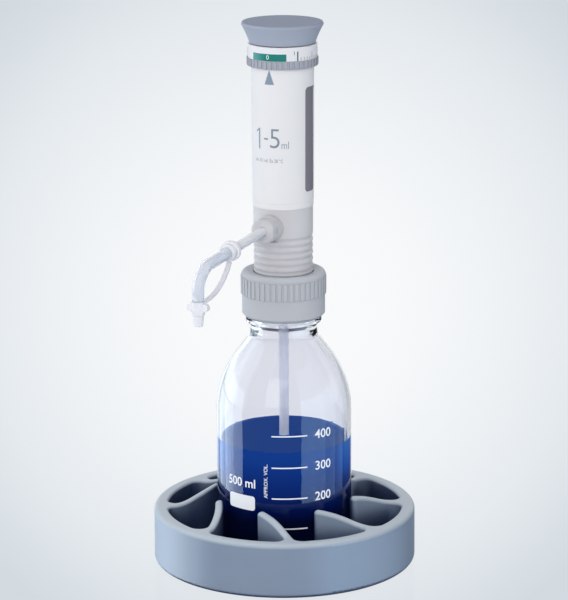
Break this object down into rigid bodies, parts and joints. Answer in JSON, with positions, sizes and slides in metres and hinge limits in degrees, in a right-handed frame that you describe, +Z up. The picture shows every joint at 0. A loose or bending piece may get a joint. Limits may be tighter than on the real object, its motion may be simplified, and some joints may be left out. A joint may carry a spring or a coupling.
{
  "type": "bottle top dispenser",
  "caption": "Bottle top dispenser with liftable knob, setting ring, spout and tethered cap, screwed on a glass bottle in a finned ring stand.",
  "frame": {"origin": "centre of the stand's flat underside", "axes": "+Z up along the bottle and piston axis, -Y towards the spout, +X to the user's right when the spout points at them"},
  "size_m": [0.1676, 0.2073, 0.3468],
  "materials": {
    "stand_plastic": "blue-grey moulded, satin",
    "bottle_glass": "clear borosilicate glass",
    "reagent": "clear deep blue liquid",
    "seal_ptfe": "white sealing washer",
    "collar_plastic": "light grey moulded, satin",
    "block_plastic": "milky clear moulding",
    "valve_plastic": "natural fluoropolymer",
    "ceramic_ball": "polished ceramic",
    "tube_plastic": "clear soft tube",
    "barrel_glass": "ground clear glass",
    "piston_ceramic": "ground ceramic",
    "inner_plastic": "pale grey moulded",
    "sleeve_plastic": "white moulded, satin gloss",
    "window_plastic": "smoked clear",
    "grip_plastic": "grey moulded, ribbed",
    "scale_plastic": "white moulded with printed scale",
    "knob_plastic": "blue-grey moulded, fine matt grain",
    "clip_steel": "spring steel",
    "cap_plastic": "soft pale moulding"
  },
  "bodies": {
    "stand": {"stand": "stand_plastic"},
    "bottle": {"bottle": "bottle_glass", "liquid": "reagent"},
    "dispenser": {"bottle_seal": "seal_ptfe", "collar_retainer": "inner_plastic", "valve_block": "block_plastic", "suction_valve_body": "valve_plastic", "suction_valve_cage": "valve_plastic", "filling_tube_upper": "tube_plastic", "filling_tube_lower": "tube_plastic", "glass_barrel": "barrel_glass", "barrel_seal": "seal_ptfe", "barrel_head": "inner_plastic", "barrel_guide": "inner_plastic", "outer_sleeve": "sleeve_plastic", "window_right": "window_plastic", "window_left": "window_plastic", "discharge_valve_seat": "valve_plastic", "discharge_valve_cage": "valve_plastic", "spout_nut": "block_plastic", "discharge_tube": "tube_plastic", "discharge_liner": "tube_plastic", "spout_sheath": "tube_plastic", "tether_ring": "cap_plastic", "cap_tether": "cap_plastic"},
    "collar": {"screw_collar": "collar_plastic"},
    "setting": {"grip_ring": "grip_plastic", "scale_ring": "scale_plastic", "stop_cam": "inner_plastic", "cam_clip": "clip_steel"},
    "plunger": {"operating_knob": "knob_plastic", "knob_stem": "inner_plastic", "piston_clamp": "inner_plastic", "piston": "piston_ceramic"},
    "cap": {"tip_cap": "cap_plastic"},
    "suction_valve": {"suction_ball": "ceramic_ball"},
    "discharge_valve": {"discharge_ball": "ceramic_ball"}
  },
  "joints": [
    {"name": "bottle_lift", "type": "slide", "parent": "stand", "child": "bottle", "axis": [0, 0, 1], "range_m": [0, 0.06]},
    {"name": "dispenser_lift", "type": "slide", "parent": "bottle", "child": "dispenser", "axis": [0, 0, 1], "range_m": [0, 0.18]},
    {"name": "collar_turn", "type": "hinge", "parent": "dispenser", "child": "collar", "pos_m": [0, 0, 0.175], "axis": [0, 0, 1], "continuous": true},
    {"name": "volume_setting", "type": "hinge", "parent": "dispenser", "child": "setting", "pos_m": [0, 0, 0.325], "axis": [0, 0, -1], "range_deg": [0, 298.5]},
    {"name": "knob_stroke", "type": "slide", "parent": "dispenser", "child": "plunger", "axis": [0, 0, 1], "range_m": [0, 0.0442]},
    {"name": "cap_pull", "type": "slide", "parent": "dispenser", "child": "cap", "axis": [0, 0, -1], "range_m": [0, 0.008], "deforming": ["cap_tether"]},
    {"name": "suction_ball_lift", "type": "slide", "parent": "dispenser", "child": "suction_valve", "axis": [0, 0, 1], "range_m": [0, 0.0012]},
    {"name": "discharge_ball_lift", "type": "slide", "parent": "dispenser", "child": "discharge_valve", "axis": [0, -1, 0], "range_m": [0, 0.0008]}
  ]
}
